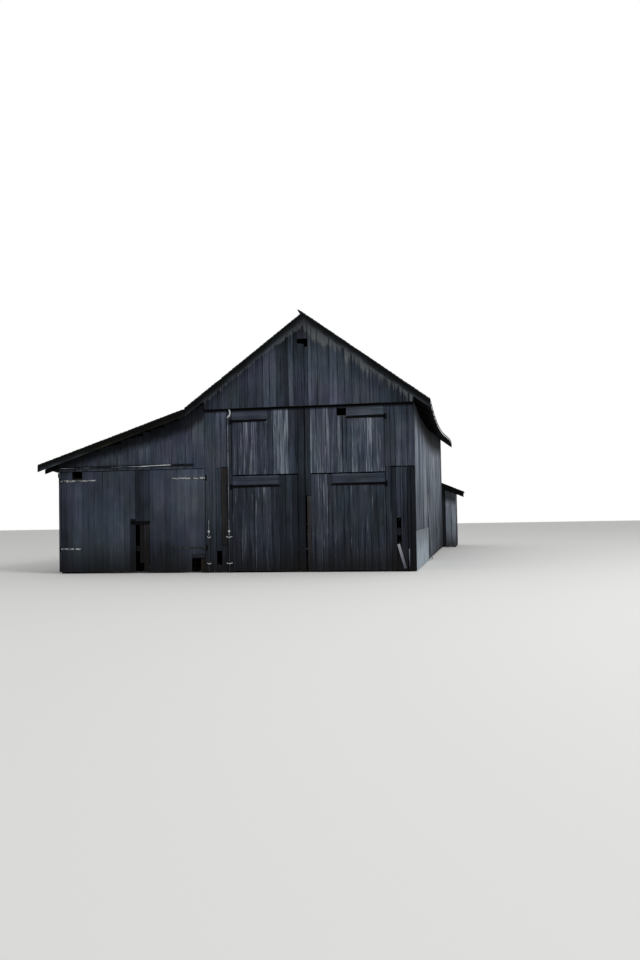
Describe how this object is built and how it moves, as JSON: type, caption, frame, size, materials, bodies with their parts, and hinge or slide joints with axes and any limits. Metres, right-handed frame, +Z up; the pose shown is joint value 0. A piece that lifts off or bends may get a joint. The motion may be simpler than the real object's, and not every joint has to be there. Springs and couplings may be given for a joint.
{
  "type": "timber barn with a lean-to",
  "caption": "Old weathered timber barn with a swayback shingle roof, a lean-to along one side, strap-hinged double doors and a small open shed behind",
  "frame": {"origin": "on the ground at the middle of the whole building's box", "axes": "+Z up, the front with its doors faces -Y, +X to the right seen from the front"},
  "size_m": [11.8, 19.47, 7.3786],
  "materials": {
    "front_boards": "weathered",
    "side_boards": "weathered",
    "frame_timber": "rough sawn",
    "roof_shingles": "weathered",
    "barge_boards": "weathered",
    "black_iron": "rusty",
    "pale_metal": "galvanised"
  },
  "bodies": {
    "barn": {"arcade_posts": "frame_timber", "barge_boards": "barge_boards", "corner_board": "front_boards", "door_posts": "frame_timber", "drip_board": "front_boards", "front_gable": "front_boards", "front_panel_left": "front_boards", "front_panel_right": "front_boards", "gable_studs": "frame_timber", "knee_braces": "frame_timber", "lean_front_wall": "front_boards", "lean_header": "frame_timber", "lean_ledger": "frame_timber", "lean_left_wall": "side_boards", "lean_posts": "frame_timber", "lean_rafters": "frame_timber", "lean_rear_wall": "side_boards", "lean_sheathing": "frame_timber", "lean_shingles": "roof_shingles", "main_rafters": "frame_timber", "main_sheathing": "frame_timber", "main_shingles_left": "roof_shingles", "main_shingles_right": "roof_shingles", "patch_sheet": "pale_metal", "pintles": "black_iron", "rear_posts": "frame_timber", "rear_wall": "side_boards", "ridge_board": "frame_timber", "right_posts": "frame_timber", "right_wall": "side_boards", "service_pipes": "pale_metal", "shed_frame": "frame_timber", "shed_roof": "roof_shingles", "shed_walls": "side_boards", "sills": "frame_timber", "tie_beams": "frame_timber", "wall_girts": "frame_timber", "wall_plates": "frame_timber"},
    "main_left_door": {"main_left_leaf": "front_boards", "main_left_ledges": "frame_timber", "main_left_straps": "black_iron"},
    "main_right_door": {"main_right_leaf": "front_boards", "main_right_ledges": "frame_timber", "main_right_straps": "black_iron"},
    "lean_left_door": {"lean_left_leaf": "front_boards", "lean_left_ledges": "frame_timber", "lean_left_straps": "black_iron"},
    "lean_right_door": {"lean_right_leaf": "front_boards", "lean_right_ledges": "frame_timber", "lean_right_straps": "black_iron", "latch_bar": "black_iron"}
  },
  "joints": [
    {"name": "main_left_hinge", "type": "hinge", "parent": "barn", "child": "main_left_door", "pos_m": [-0.194, -9.401, 2], "axis": [0, 0, -1], "range_deg": [0, 95]},
    {"name": "main_right_hinge", "type": "hinge", "parent": "barn", "child": "main_right_door", "pos_m": [4.124, -9.401, 2], "axis": [0, 0, 1], "range_deg": [0, 110]},
    {"name": "lean_left_hinge", "type": "hinge", "parent": "barn", "child": "lean_left_door", "pos_m": [-5.334, -9.401, 1], "axis": [0, 0, -1], "range_deg": [0, 110]},
    {"name": "lean_right_hinge", "type": "hinge", "parent": "barn", "child": "lean_right_door", "pos_m": [-0.996, -9.401, 1], "axis": [0, 0, 1], "range_deg": [0, 90]}
  ]
}
